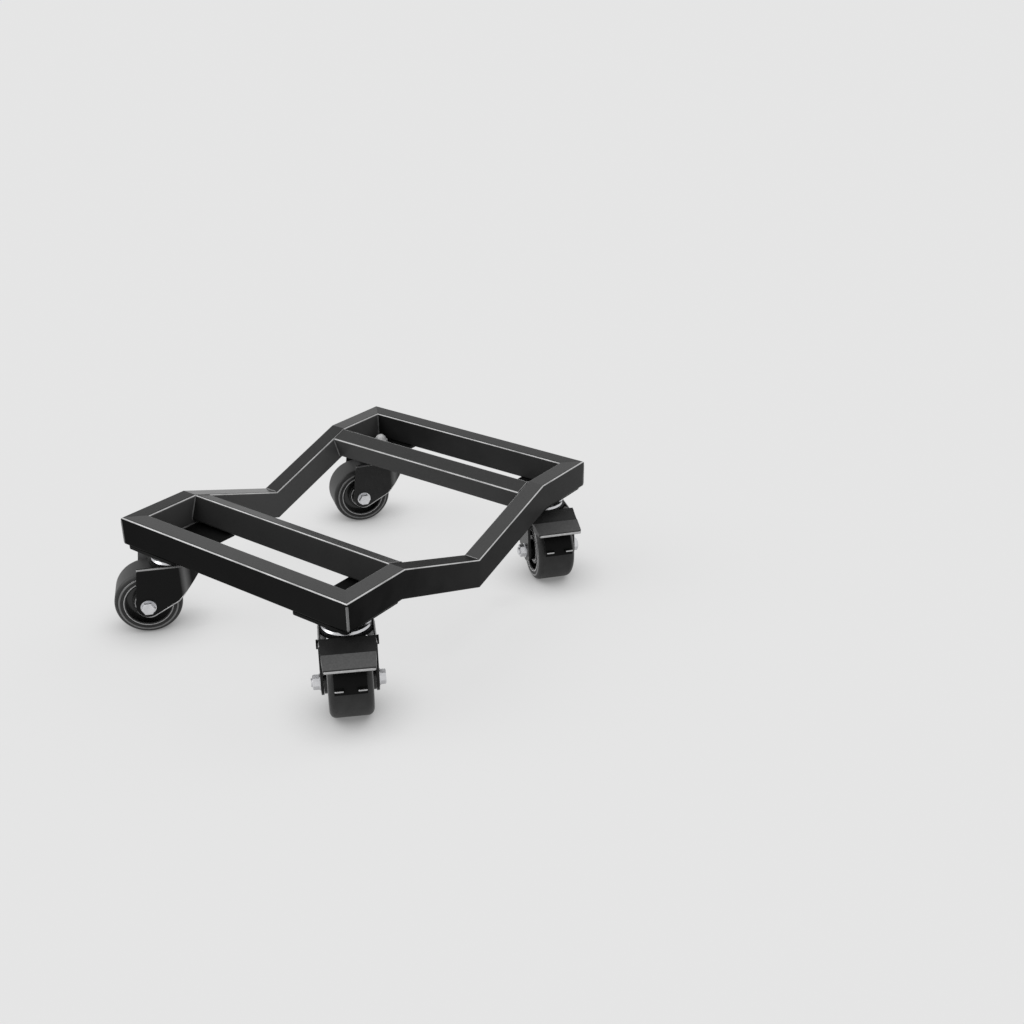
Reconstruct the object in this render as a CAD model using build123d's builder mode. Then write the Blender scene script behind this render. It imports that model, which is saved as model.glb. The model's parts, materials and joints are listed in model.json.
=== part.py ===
from build123d import *
import math
import os

# A low dolly for moving a car by one tyre. Millimetres, floor at z = 0, origin on the floor under the
# middle of the frame. X runs across the dolly, Y from its front end to its rear end.

# Frame tube, outside sizes
frame_width = 450
frame_length = 577
level_end = 119
cradle_drop = 59
tube_width = 30
tube_height = 45
inner_tube_height = 40
tube_wall = 2.5
tube_corner = 3.5

# Caster plate with its pressed upper race
caster_height = 136
plate_width = 100
plate_thickness = 5
plate_corner = 6
plate_side_inset = 6
plate_end_inset = 1
plate_lap = 5
plate_tongue = 11
upper_race_depth = 7
upper_race_radius = 29.5
upper_race_root = 38
shield_radius = 35.5
shield_gap = 1.2

# Lower race, a plated dish that sits on the crown of the fork
race_height = 18
race_radius = 35
race_draw_in = 2.5
race_rise = 3.6
race_sheet = 2.5
race_bore = 21

# Ring of bearing balls between the races
ball_ring_inner = 22.5
ball_ring_outer = 28.5

# Kingpin bolt and cap nut, set in from the outer faces of the frame
kingpin_side_inset = 51
kingpin_end_inset = 49
kingpin_radius = 7
kingpin_flats = 22
kingpin_head = 9
cap_nut_height = 6
cap_nut_dome = 10
cap_nut_depth = 10
cap_nut_chamfer = 0.8

# Wheel
wheel_width = 60
tread_shoulder = 8.5
tyre_depth = 13
rim_depth = 4
rim_setback = 1.5
web_setback = 12
hub_disc_radius = 24
hub_disc_setback = 4
hub_radius = 16.5
bearing_radius = 13
bearing_width = 9
hub_bore = 11

# Axle
axle_radius = 6
axle_flats = 18
axle_head = 7.5
axle_nut_height = 9
axle_end = 2
axle_flange_radius = 11.5
axle_flange = 1.8
sleeve_radius = 8
hex_chamfer = 1

# Fork, pressed from sheet
trail = 45
fork_wall = 4
crown_thickness = 5
crown_bend = 3.5
crown_gap = 8
wheel_side_gap = 5.5
leg_end_radius = 18
leg_top_reach = 10.5
heel_back = 45
heel_rise = 4
heel_bend = 18
back_wall = 16
fork_edge = 1

# Foot brake: lengths ahead of the axle are reaches, heights from the top of the crown are rises
brake_pin_radius = 4
brake_pin_back = 4
brake_pin_drop = 6
brake_pin_head = 2.5
brake_pin_head_radius = 6.5
lever_sheet = 3
hood_rear_reach = 6
hood_rear_rise = 7.2
hood_front_reach = 42
hood_front_drop = 4
hood_rear_width = 76
pedal_back_reach = 35
pedal_front_reach = 63
pedal_front_drop = 6.8
pedal_lip = 5.2
pedal_bend = 3
pedal_back_width = 73
pedal_front_width = 69
skirt_depth = 10
cheek_clearance = 1.5
cheek_depth = 9
cheek_eye = 6.5
shoe_gap = 7.5
shoe_sheet = 3
shoe_width = 44
shoe_low_angle = 13.5
shoe_high_angle = 48
shoe_flange_reach = 18
shoe_tab = 4
shoe_tab_width = 13
shoe_tab_rise = 6

# Fits
running_clearance = 0.05
seat_clearance = 0.05
free_clearance = 0.3
hub_end_clearance = 0.5

# Ends and sides of the frame, the heading of each wheel as it stands, and the side with the foot brakes
ends = {"front": -1, "rear": 1}
sides = {"left": -1, "right": 1}
heading_angle = {"front_left": -131.3, "front_right": -45.5, "rear_left": -125.3, "rear_right": -39.5}
braked_side = "right"

half_width = frame_width / 2
half_length = frame_length / 2
frame_top = caster_height + tube_height
slope_length = math.hypot(half_length - level_end, cradle_drop)
slope_sine = cradle_drop / slope_length
plate_bottom = caster_height - plate_thickness
crown_top = plate_bottom - race_height
crown_bottom = crown_top - crown_thickness
wheel_radius = (crown_bottom - crown_gap) / 2
fork_inner = wheel_width / 2 + wheel_side_gap
fork_outer = fork_inner + fork_wall
hub_half = fork_inner - hub_end_clearance
rim_radius = wheel_radius - tyre_depth
brake_pin_at = (trail - brake_pin_back, crown_top - brake_pin_drop)


def save(piece, node):
    """Name a finished piece and write it."""
    piece.part.label = node
    export_step(piece.part, f"parts/{node}.step")


def tube(start, end, across, height, cuts):
    """Rectangular tube whose top centre line runs from start to end, cut off by a plane at each end."""
    along = (end - start).normalized()
    overrun = height
    section = Plane(origin=start - along * overrun, x_dir=across, z_dir=along)
    with BuildPart() as piece:
        with BuildSketch(section):
            with Locations((0, height / 2)):
                RectangleRounded(tube_width, height, tube_corner)
                RectangleRounded(
                    tube_width - 2 * tube_wall,
                    height - 2 * tube_wall,
                    tube_corner - min(tube_wall, tube_corner / 2),
                    mode=Mode.SUBTRACT,
                )
        extrude(amount=(end - start).length + 2 * overrun)
        for cut in cuts:
            split(bisect_by=cut, keep=Keep.TOP)
    return piece


def corner_point(corner, side_inset, end_inset):
    """Point on the floor, set in from the side and from the end of the frame at one of its corners."""
    end_name, side_name = corner.split("_")
    return (
        sides[side_name] * (half_width - side_inset),
        ends[end_name] * (half_length - end_inset),
        0,
    )


def caster_frame(corner):
    """Plane on the floor under a kingpin, with its X along the heading of the wheel."""
    heading = math.radians(heading_angle[corner])
    return Plane(
        origin=corner_point(corner, kingpin_side_inset, kingpin_end_inset),
        x_dir=(math.cos(heading), math.sin(heading), 0),
        z_dir=(0, 0, 1),
    )


def side_plane(base):
    """Upright plane through the kingpin along the heading: sketch X runs ahead and sketch Y runs up."""
    return Plane(origin=base.origin, x_dir=base.x_dir, z_dir=-base.y_dir)


def swivel_axis(base):
    """Upright axis of a kingpin."""
    return Axis(base.origin, (0, 0, 1))


def wheel_plane(base):
    """Level plane through the wheel centre: sketch X is the radius and sketch Y runs along the axle."""
    return Plane(
        origin=base.from_local_coords((trail, 0, wheel_radius)),
        x_dir=base.x_dir,
        z_dir=(0, 0, 1),
    )


def wheel_axis(base):
    """Axis of the axle."""
    return Axis(wheel_plane(base).origin, base.y_dir)


def cross_plane(base, ahead, up, out):
    """Plane square to the axle, out along it from the middle of the wheel."""
    return Plane(
        origin=base.from_local_coords((ahead, out, up)),
        x_dir=base.x_dir,
        z_dir=base.y_dir,
    )


def tangent_point(point, centre, radius, turn):
    """Where a line from a point touches a circle, on the side given by turn."""
    offset = Vector(*centre) - Vector(*point)
    bearing = math.atan2(offset.Y, offset.X) + turn * math.asin(radius / offset.length)
    reach = math.sqrt(offset.length**2 - radius**2)
    return (point[0] + reach * math.cos(bearing), point[1] + reach * math.sin(bearing))


def make_plate(corner):
    """Top plate with a tongue under the inner crossbar, upper race and dust shield pressed out below."""
    base = caster_frame(corner)
    upright = Plane(origin=base.origin, x_dir=(1, 0, 0), z_dir=(0, -1, 0))
    race_low = plate_bottom - upper_race_depth
    shield_low = crown_top + race_rise + shield_gap
    crossbar_low = level_end - inner_tube_height * slope_sine
    plate_length = crossbar_low + plate_lap - plate_end_inset
    middle = corner_point(corner, plate_side_inset + plate_width / 2, plate_end_inset + plate_length / 2)
    plate_side = plate_side_inset + plate_width
    tongue_end = plate_end_inset + plate_length + plate_tongue
    tongue_width = plate_side - tube_width - free_clearance
    tongue_length = plate_tongue + plate_corner
    tongue = corner_point(corner, plate_side - tongue_width / 2, tongue_end - tongue_length / 2)
    with BuildPart() as plate:
        with BuildSketch(Plane(origin=middle, z_dir=(0, 0, 1)).offset(plate_bottom)):
            RectangleRounded(plate_width, plate_length, plate_corner)
        extrude(amount=plate_thickness)
        with BuildSketch(Plane(origin=tongue, z_dir=(0, 0, 1)).offset(plate_bottom)):
            Rectangle(tongue_width, tongue_length)
        extrude(amount=plate_thickness)
        with BuildSketch(upright):
            Polygon(
                (0, plate_bottom),
                (0, race_low),
                (upper_race_radius, race_low),
                (upper_race_radius, shield_low),
                (shield_radius, shield_low),
                (upper_race_root, plate_bottom),
                align=None,
            )
        revolve(axis=swivel_axis(base))
        with BuildSketch(Plane(origin=base.origin, z_dir=(0, 0, 1)).offset(race_low)):
            Circle(kingpin_radius + seat_clearance)
        extrude(amount=caster_height - race_low, mode=Mode.SUBTRACT)
    return plate


def on_outside(base, edge):
    """Whether the middle of an edge lies on the outer side of the fork's sheet, below the crown bend."""
    middle = base.to_local_coords(edge @ 0.5)
    out = math.hypot(min(middle.X, 0), middle.Y)
    return out > fork_outer - fork_wall / 2 and middle.Z < crown_top - 2 * crown_bend


def make_fork(base, braked):
    """Pressed fork: round back, flat crown, and two legs that reach ahead and down to the axle."""
    floor_side = side_plane(base)
    fork_low = wheel_radius - leg_end_radius
    reach = trail + leg_end_radius
    axle_at = (trail, wheel_radius)
    leg_top = (trail + leg_top_reach, crown_top)
    heel = (trail - heel_back, wheel_radius + heel_rise)
    back_low = (-fork_outer, crown_top - back_wall)
    front_touch = tangent_point(leg_top, axle_at, leg_end_radius, 1)
    heel_touch = tangent_point(heel, axle_at, leg_end_radius, -1)
    with BuildPart() as fork:
        with BuildSketch(base.offset(fork_low)):
            Circle(fork_outer)
            Rectangle(reach, 2 * fork_outer, align=(Align.MIN, Align.CENTER))
        extrude(amount=crown_top - fork_low)
        rim = fork.faces().sort_by(Axis.Z)[-1].edges()
        fillet(rim.sort_by(Axis(base.origin, base.x_dir))[:-1], crown_bend)
        with BuildSketch(base.offset(fork_low)):
            Circle(fork_inner)
            Rectangle(2 * reach, 2 * fork_inner, align=(Align.MIN, Align.CENTER))
        extrude(amount=crown_bottom - fork_low, mode=Mode.SUBTRACT)
        with BuildSketch(base.offset(crown_bottom)):
            Rectangle(2 * reach, 2 * fork_inner, align=(Align.MIN, Align.CENTER))
            Circle(fork_outer, mode=Mode.SUBTRACT)
        extrude(amount=crown_thickness, mode=Mode.SUBTRACT)
        with BuildSketch(floor_side):
            with BuildLine():
                Polyline(heel_touch, heel, back_low, (-fork_outer, crown_top), leg_top, front_touch)
                ThreePointArc(front_touch, (trail, fork_low), heel_touch)
            make_face()
            fillet(vertices().sort_by_distance(heel)[0], heel_bend)
        extrude(amount=2 * fork_outer, both=True, mode=Mode.INTERSECT)
        outline = fork.edges().filter_by(lambda edge: on_outside(base, edge))
        fillet(outline.filter_by(Axis.Z, reverse=True), fork_edge)
        with BuildSketch(base.offset(crown_bottom)):
            Circle(kingpin_radius + running_clearance)
        extrude(amount=crown_thickness, mode=Mode.SUBTRACT)
        with BuildSketch(floor_side):
            with Locations(axle_at):
                Circle(axle_radius + seat_clearance)
            if braked:
                with Locations(brake_pin_at):
                    Circle(brake_pin_radius + seat_clearance)
        extrude(amount=2 * fork_outer, both=True, mode=Mode.SUBTRACT)
    return fork


def make_lower_race(base):
    """Plated dish on the crown: a flat ring with a drawn wall that leans in."""
    wall_top = crown_top + race_rise
    with BuildPart() as race:
        with BuildSketch(side_plane(base)):
            Polygon(
                (race_bore, crown_top),
                (race_radius, crown_top),
                (race_radius - race_draw_in, wall_top),
                (race_radius - race_draw_in - race_sheet, wall_top),
                (race_radius - race_sheet - race_draw_in / 2, crown_top + race_sheet),
                (race_bore, crown_top + race_sheet),
                align=None,
            )
        revolve(axis=swivel_axis(base))
    return race


def make_axle_bolt(base):
    """Flanged hexagon bolt through both fork legs, its head on the left of the heading."""
    shank = 2 * fork_outer + axle_flange + axle_nut_height + axle_end
    with BuildPart() as bolt:
        with BuildSketch(cross_plane(base, trail, wheel_radius, fork_outer + axle_flange)):
            RegularPolygon(axle_flats / 2, 6, major_radius=False)
        extrude(amount=axle_head)
        chamfer(bolt.faces().sort_by(Axis(base.origin, base.y_dir))[-1].edges(), hex_chamfer)
        with BuildSketch(cross_plane(base, trail, wheel_radius, fork_outer)):
            Circle(axle_flange_radius)
        extrude(amount=axle_flange)
        with BuildSketch(cross_plane(base, trail, wheel_radius, fork_outer)):
            Circle(axle_radius)
        extrude(amount=-shank)
    return bolt


def make_axle_nut(base):
    """Flanged hexagon nut on the other end of the axle bolt."""
    with BuildPart() as nut:
        with BuildSketch(cross_plane(base, trail, wheel_radius, -fork_outer - axle_flange)):
            RegularPolygon(axle_flats / 2, 6, major_radius=False)
        extrude(amount=-axle_nut_height)
        chamfer(nut.faces().sort_by(Axis(base.origin, base.y_dir))[0].edges(), hex_chamfer)
        with BuildSketch(cross_plane(base, trail, wheel_radius, -fork_outer)):
            Circle(axle_flange_radius)
        extrude(amount=-axle_flange)
        with BuildSketch(cross_plane(base, trail, wheel_radius, -fork_outer)):
            Circle(axle_radius + seat_clearance)
        extrude(amount=-axle_flange - axle_nut_height, mode=Mode.SUBTRACT)
    return nut


def make_sleeve(base):
    """Steel sleeve clamped between the fork legs, on which the bearings turn."""
    with BuildPart() as sleeve:
        with BuildSketch(cross_plane(base, trail, wheel_radius, -fork_inner)):
            Circle(sleeve_radius)
            Circle(axle_radius + seat_clearance, mode=Mode.SUBTRACT)
        extrude(amount=2 * fork_inner)
    return sleeve


def make_tyre(base):
    """Solid tyre with flat sides and well rounded shoulders."""
    with BuildPart() as tyre:
        with BuildSketch(wheel_plane(base)):
            with Locations((rim_radius + seat_clearance, 0)):
                Rectangle(
                    wheel_radius - rim_radius - seat_clearance,
                    wheel_width,
                    align=(Align.MIN, Align.CENTER),
                )
            fillet(vertices().group_by(Axis.X)[-1], tread_shoulder)
        revolve(axis=wheel_axis(base))
    return tyre


def make_wheel_core(base):
    """Moulded core: rim, recessed web, raised hub disc, and a long hub with two bearing seats."""
    rim_edge = wheel_width / 2 - rim_setback
    web_face = wheel_width / 2 - web_setback
    disc_face = wheel_width / 2 - hub_disc_setback
    seat = bearing_radius + seat_clearance
    with BuildPart() as core:
        with BuildSketch(wheel_plane(base)):
            Polygon(
                (hub_bore, 0),
                (hub_bore, hub_half - bearing_width),
                (seat, hub_half - bearing_width),
                (seat, hub_half),
                (hub_radius, hub_half),
                (hub_radius, disc_face),
                (hub_disc_radius, disc_face),
                (hub_disc_radius, web_face),
                (rim_radius - rim_depth, web_face),
                (rim_radius - rim_depth, rim_edge),
                (rim_radius, rim_edge),
                (rim_radius, 0),
                align=None,
            )
            mirror(about=Plane.XZ)
        revolve(axis=wheel_axis(base))
    return core


def make_bearings(base):
    """The two hub bearings, pressed into the core and free on the sleeve."""
    with BuildPart() as bearings:
        with BuildSketch(wheel_plane(base)):
            with Locations((sleeve_radius + running_clearance, hub_half)):
                Rectangle(
                    bearing_radius - sleeve_radius - running_clearance,
                    bearing_width,
                    align=(Align.MIN, Align.MAX),
                )
            mirror(about=Plane.XZ)
        revolve(axis=wheel_axis(base))
    return bearings


def hood_under(ahead):
    """Height of the underside of the hood at a place ahead of the kingpin."""
    run = hood_front_reach - hood_rear_reach
    fall = hood_rear_rise + hood_front_drop
    drop = (ahead - trail - hood_rear_reach) * fall / run
    return crown_top + hood_rear_rise - drop - lever_sheet * math.hypot(run, fall) / run


def make_lever(base):
    """Brake lever: a sloping hood, a foot pedal with lip and skirts, and two cheeks on the pivot pin."""
    hood_rear = trail + hood_rear_reach
    hood_front = trail + hood_front_reach
    pedal_back = (trail + pedal_back_reach, crown_top)
    pedal_front = (trail + pedal_front_reach, crown_top - pedal_front_drop)
    hood_thickness = crown_top + hood_rear_rise - hood_under(hood_rear)
    cheek_inner = wheel_width / 2 + cheek_clearance
    skirt_inner = pedal_front_width / 2 - lever_sheet
    skirt_width = pedal_back_width / 2 - skirt_inner
    pin_ahead, pin_up = brake_pin_at
    with BuildPart() as lever:
        with BuildSketch(side_plane(base)):
            Polygon(
                (hood_rear, hood_under(hood_rear)),
                (hood_front, hood_under(hood_front)),
                (hood_front, hood_under(hood_front) + hood_thickness),
                (hood_rear, hood_under(hood_rear) + hood_thickness),
                align=None,
            )
            Polygon(
                pedal_back,
                pedal_front,
                (pedal_front[0], pedal_front[1] - pedal_lip),
                (pedal_front[0] - lever_sheet, pedal_front[1] - pedal_lip),
                (pedal_front[0] - lever_sheet, pedal_front[1] - lever_sheet),
                (pedal_back[0], pedal_back[1] - lever_sheet),
                align=None,
            )
            fillet(vertices().sort_by_distance(pedal_front)[0], pedal_bend)
        extrude(amount=pedal_back_width, both=True)
        for out in (skirt_inner, -skirt_inner - skirt_width):
            with BuildSketch(side_plane(base).offset(-out)):
                Polygon(
                    pedal_back,
                    pedal_front,
                    (pedal_front[0], pedal_front[1] - pedal_lip),
                    (pedal_back[0], pedal_back[1] - skirt_depth),
                    align=None,
                )
                fillet(vertices().sort_by_distance(pedal_front)[0], pedal_bend)
            extrude(amount=-skirt_width)
        with BuildSketch(base):
            Polygon(
                (hood_rear, -hood_rear_width / 2),
                (pedal_back[0], -pedal_back_width / 2),
                (pedal_front[0], -pedal_front_width / 2),
                (pedal_front[0], pedal_front_width / 2),
                (pedal_back[0], pedal_back_width / 2),
                (hood_rear, hood_rear_width / 2),
                align=None,
            )
            fillet(vertices().group_by(Axis.X)[-1], pedal_bend)
        extrude(amount=2 * crown_top, mode=Mode.INTERSECT)
        for out in (cheek_inner, -cheek_inner - lever_sheet):
            with BuildSketch(side_plane(base).offset(-out)):
                with Locations(brake_pin_at):
                    Circle(cheek_eye)
                Polygon(
                    (pin_ahead, pin_up + cheek_eye),
                    (hood_rear + lever_sheet, hood_under(hood_rear + lever_sheet) + lever_sheet / 2),
                    (hood_front, hood_under(hood_front) + lever_sheet / 2),
                    (pedal_front[0] - 2 * lever_sheet, pedal_front[1] - lever_sheet / 2),
                    (hood_front, hood_under(hood_front) - cheek_depth),
                    (pin_ahead, pin_up - cheek_eye),
                    align=None,
                )
                with Locations(brake_pin_at):
                    Circle(brake_pin_radius + running_clearance, mode=Mode.SUBTRACT)
            extrude(amount=-lever_sheet)
    return lever


def make_shoe(base):
    """Brake shoe: a flange under the hood, a neck, and a plate curved round the tread with two tabs."""
    inner = wheel_radius + shoe_gap
    outer = inner + shoe_sheet
    low = math.radians(shoe_low_angle)
    high = math.radians(shoe_high_angle)
    middle = (low + high) / 2

    def place(radius, angle):
        return (trail + radius * math.cos(angle), wheel_radius + radius * math.sin(angle))

    neck_back, neck_front = place(inner, high), place(outer, high)
    flange_rear = trail + shoe_flange_reach
    with BuildPart() as shoe:
        with BuildSketch(side_plane(base)):
            with BuildLine():
                ThreePointArc(place(inner, low), place(inner, middle), neck_back)
                Polyline(
                    neck_back,
                    (neck_back[0], hood_under(neck_back[0]) - shoe_sheet),
                    (flange_rear, hood_under(flange_rear) - shoe_sheet),
                    (flange_rear, hood_under(flange_rear)),
                    (neck_front[0], hood_under(neck_front[0])),
                    neck_front,
                )
                ThreePointArc(neck_front, place(outer, middle), place(outer, low))
                Line(place(outer, low), place(inner, low))
            make_face()
        extrude(amount=shoe_width / 2, both=True)
        tab_up = place(outer, low)[1] + shoe_tab_rise
        tab_root = trail + math.sqrt((inner + shoe_sheet / 2) ** 2 - (tab_up - wheel_radius) ** 2)
        with BuildSketch(base.offset(tab_up)):
            with GridLocations(0, shoe_width - shoe_tab_width, 1, 2):
                with Locations((tab_root, 0)):
                    Rectangle(
                        shoe_tab + shoe_sheet / 2,
                        shoe_tab_width,
                        align=(Align.MIN, Align.CENTER),
                    )
        extrude(amount=shoe_sheet)
    return shoe


def make_brake_pin(base):
    """Riveted pivot pin across the fork legs."""
    ahead, up = brake_pin_at
    with BuildPart() as pin:
        with BuildSketch(cross_plane(base, ahead, up, -fork_outer)):
            Circle(brake_pin_radius)
        extrude(amount=2 * fork_outer)
        with BuildSketch(cross_plane(base, ahead, up, fork_outer)):
            Circle(brake_pin_head_radius)
        extrude(amount=brake_pin_head)
        with BuildSketch(cross_plane(base, ahead, up, -fork_outer)):
            Circle(brake_pin_head_radius)
        extrude(amount=-brake_pin_head)
    return pin


os.makedirs("parts", exist_ok=True)

# Rails: the top line of each falls from a level end into the V of the cradle and climbs out again
top_line = [
    Vector(0, -half_length, frame_top),
    Vector(0, level_end - half_length, frame_top),
    Vector(0, 0, frame_top - cradle_drop),
    Vector(0, half_length - level_end, frame_top),
    Vector(0, half_length, frame_top),
]
runs = [(b - a).normalized() for a, b in zip(top_line, top_line[1:])]
bends = [Plane(origin=p, z_dir=a + b) for p, a, b in zip(top_line[1:], runs, runs[1:])]
segments = ["front", "front_slope", "rear_slope", "rear"]


def corner_cut(side, end):
    """Upright plane of a corner mitre, facing the rail."""
    return Plane(origin=(side * half_width, end * half_length, 0), z_dir=(side, -end, 0))


for side_name, side in sides.items():
    shift = Vector(side * (half_width - tube_width / 2), 0, 0)
    starts = [corner_cut(side, -1)] + bends
    stops = [-bend for bend in bends] + [corner_cut(side, 1)]
    for i, segment in enumerate(segments):
        start, stop = top_line[i] + shift, top_line[i + 1] + shift
        rail = tube(start, stop, (1, 0, 0), tube_height, [starts[i], stops[i]])
        save(rail, f"{side_name}_rail_{segment}")

# End crossbars, mitred with the rails at the four corners
for end_name, end in ends.items():
    middle = Vector(0, end * (half_length - tube_width / 2), frame_top)
    reach = Vector(half_width, 0, 0)
    cuts = [-corner_cut(-1, end), -corner_cut(1, end)]
    crossbar = tube(middle - reach, middle + reach, (0, -1, 0), tube_height, cuts)
    save(crossbar, f"{end_name}_crossbar")

# Inner crossbars, tilted with the slopes, each with one top edge on the bend line of the rails
inner_reach = Vector(half_width - tube_width, 0, 0)
inner_lines = {
    "front": (top_line[1] + runs[1] * (tube_width / 2), runs[1]),
    "rear": (top_line[3] - runs[2] * (tube_width / 2), runs[2]),
}
for end_name, (middle, slope) in inner_lines.items():
    left_end, right_end = middle - inner_reach, middle + inner_reach
    cuts = [Plane(origin=left_end, z_dir=(1, 0, 0)), Plane(origin=right_end, z_dir=(-1, 0, 0))]
    crossbar = tube(left_end, right_end, -slope, inner_tube_height, cuts)
    save(crossbar, f"{end_name}_inner_crossbar")

# Casters
for corner in heading_angle:
    base = caster_frame(corner)
    braked = corner.endswith(braked_side)
    save(make_plate(corner), f"{corner}_top_plate")
    save(make_fork(base, braked), f"{corner}_fork")
    save(make_lower_race(base), f"{corner}_lower_race")
    save(make_axle_bolt(base), f"{corner}_axle_bolt")
    save(make_axle_nut(base), f"{corner}_axle_nut")
    save(make_sleeve(base), f"{corner}_axle_sleeve")
    save(make_tyre(base), f"{corner}_tyre")
    save(make_wheel_core(base), f"{corner}_wheel_core")
    save(make_bearings(base), f"{corner}_bearings")
    if braked:
        save(make_lever(base), f"{corner}_brake_lever")
        save(make_shoe(base), f"{corner}_brake_shoe")
        save(make_brake_pin(base), f"{corner}_brake_pin")

# Kingpin bolts: head under the crown, shank up through the plate
head_top = crown_bottom - free_clearance
with BuildPart() as kingpins:
    for corner in heading_angle:
        base = caster_frame(corner)
        with BuildSketch(base.offset(head_top - kingpin_head)):
            RegularPolygon(kingpin_flats / 2, 6, major_radius=False)
        extrude(amount=kingpin_head)
        with BuildSketch(base.offset(head_top)):
            Circle(kingpin_radius)
        extrude(amount=caster_height + cap_nut_depth - free_clearance - head_top)
save(kingpins, "kingpin_bolts")

# Kingpin cap nuts on top of the plates, each a hexagon closed by a dome
with BuildPart() as kingpin_nuts:
    for corner in heading_angle:
        with BuildSketch(caster_frame(corner).offset(caster_height)):
            RegularPolygon(kingpin_flats / 2, 6, major_radius=False)
        extrude(amount=cap_nut_height)
    chamfer(kingpin_nuts.faces().group_by(Axis.Z)[-1].edges(), cap_nut_chamfer)
    for corner in heading_angle:
        base = caster_frame(corner)
        with Locations(base.offset(caster_height + cap_nut_height)):
            Sphere(cap_nut_dome, arc_size1=0, align=(Align.CENTER, Align.CENTER, Align.MIN))
        with BuildSketch(base.offset(caster_height)):
            Circle(kingpin_radius + seat_clearance)
        extrude(amount=cap_nut_depth, mode=Mode.SUBTRACT)
save(kingpin_nuts, "kingpin_nuts")

# Ball rings between the lower and the upper races
ring_low = crown_top + race_sheet + free_clearance
ring_high = plate_bottom - upper_race_depth - free_clearance
with BuildPart() as ball_rings:
    for corner in heading_angle:
        with BuildSketch(caster_frame(corner).offset(ring_low)):
            Circle(ball_ring_outer)
            Circle(ball_ring_inner, mode=Mode.SUBTRACT)
        extrude(amount=ring_high - ring_low)
save(ball_rings, "swivel_ball_rings")
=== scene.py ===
# %% [markdown]
# # A low car dolly on four casters
#
# The dolly is a welded frame of black rectangular tube that carries one tyre of a car in its V-shaped
# cradle. It rolls on four swivel casters, and the two on its right-hand side have a foot brake.
# The exact solids come in as a fixed frame, in metres, with +Z up and the floor at z = 0. This script
# gives every surface its finish and adds what is too fine for the solids: weld beads, moulded ribs,
# screw threads and rolled edges.

# %% Load the solids
import json
import math

import bpy
import numpy as np
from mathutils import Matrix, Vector


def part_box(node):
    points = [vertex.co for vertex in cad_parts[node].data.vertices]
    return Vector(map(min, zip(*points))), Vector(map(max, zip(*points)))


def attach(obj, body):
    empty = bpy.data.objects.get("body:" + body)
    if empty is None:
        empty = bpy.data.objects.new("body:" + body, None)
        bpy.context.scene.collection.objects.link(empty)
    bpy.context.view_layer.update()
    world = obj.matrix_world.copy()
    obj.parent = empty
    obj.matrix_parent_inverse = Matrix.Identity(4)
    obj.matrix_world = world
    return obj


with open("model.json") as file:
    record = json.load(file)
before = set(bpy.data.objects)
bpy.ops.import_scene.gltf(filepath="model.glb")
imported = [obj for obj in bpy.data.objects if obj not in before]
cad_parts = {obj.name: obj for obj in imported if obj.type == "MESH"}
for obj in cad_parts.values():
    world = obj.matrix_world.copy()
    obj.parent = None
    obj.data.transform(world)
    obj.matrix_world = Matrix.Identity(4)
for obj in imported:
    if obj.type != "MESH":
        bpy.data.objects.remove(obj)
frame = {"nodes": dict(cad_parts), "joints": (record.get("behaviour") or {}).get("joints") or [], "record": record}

nodes = frame["nodes"]
slot_of = {part["node"]: part["material_slot"] for part in frame["record"]["subparts"]}
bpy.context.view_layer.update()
scene = bpy.context.scene
scene.view_settings.view_transform = "Standard"
MM = 0.001

# %% [markdown]
# ## Camera
#
# The camera stands a little more than a metre and a half from the dolly's front right corner and looks
# down on it by about 26 degrees. Its place and lens were worked out from the corners of the frame, so the
# render and the photograph can be laid over each other.

# %% Camera
CAMERA_AT, CAMERA_TILT, CAMERA_HEADING = (1.18836, -1.28476, 0.96871), 64.44, 35.159
LENS, SENSOR = 42.8, 36
camera_data = bpy.data.cameras.new("photo_camera")
camera_data.sensor_width = SENSOR
camera_data.lens = LENS
camera = bpy.data.objects.new("photo_camera", camera_data)
camera.location = CAMERA_AT
camera.rotation_euler = (math.radians(CAMERA_TILT), 0, math.radians(CAMERA_HEADING))
scene.collection.objects.link(camera)
scene.camera = camera
print("lens", LENS, "mm, camera at", CAMERA_AT, "metres")

# %% [markdown]
# ## Colours and nodes
#
# Colours are written as the hex values that a paint chart gives, in sRGB. Blender mixes light in linear
# values, so one function converts them. Another adds one shader node with its settings, its plain values
# and its links, which keeps each finish below down to a readable list.

# %% Helpers for materials
NOISE, RANGE, MATH, MIX = "ShaderNodeTexNoise", "ShaderNodeMapRange", "ShaderNodeMath", "ShaderNodeMix"
SPLIT, TURN, BUMP = "ShaderNodeSeparateXYZ", "ShaderNodeVectorRotate", "ShaderNodeBump"


def linear(hex_colour):
    """sRGB hex to linear RGBA: c / 12.92 below 0.04045, else ((c + 0.055) / 1.055) ** 2.4."""
    parts = [int(hex_colour[i : i + 2], 16) / 255 for i in (1, 3, 5)]
    return (*[c / 12.92 if c <= 0.04045 else ((c + 0.055) / 1.055) ** 2.4 for c in parts], 1)


def two_tones(tones):
    """Two hex colours as the ends of a mix."""
    return {"A": linear(tones[0]), "B": linear(tones[1])}


def output_of(source):
    """A link starts at an output, or at a node, which then gives the first of its outputs in use."""
    return next(o for o in source.outputs if o.enabled) if hasattr(source, "outputs") else source


def add(tree, kind, values=None, links=None, **settings):
    """Add one node: settings are its own properties, values its sockets, links what feeds its sockets."""
    made = tree.nodes.new(kind)
    for name, setting in settings.items():
        setattr(made, name, setting)
    for socket, value in (values or {}).items():
        made.inputs[socket].default_value = value
    for socket, source in (links or {}).items():
        tree.links.new(output_of(source), made.inputs[socket])
    return made


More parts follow.
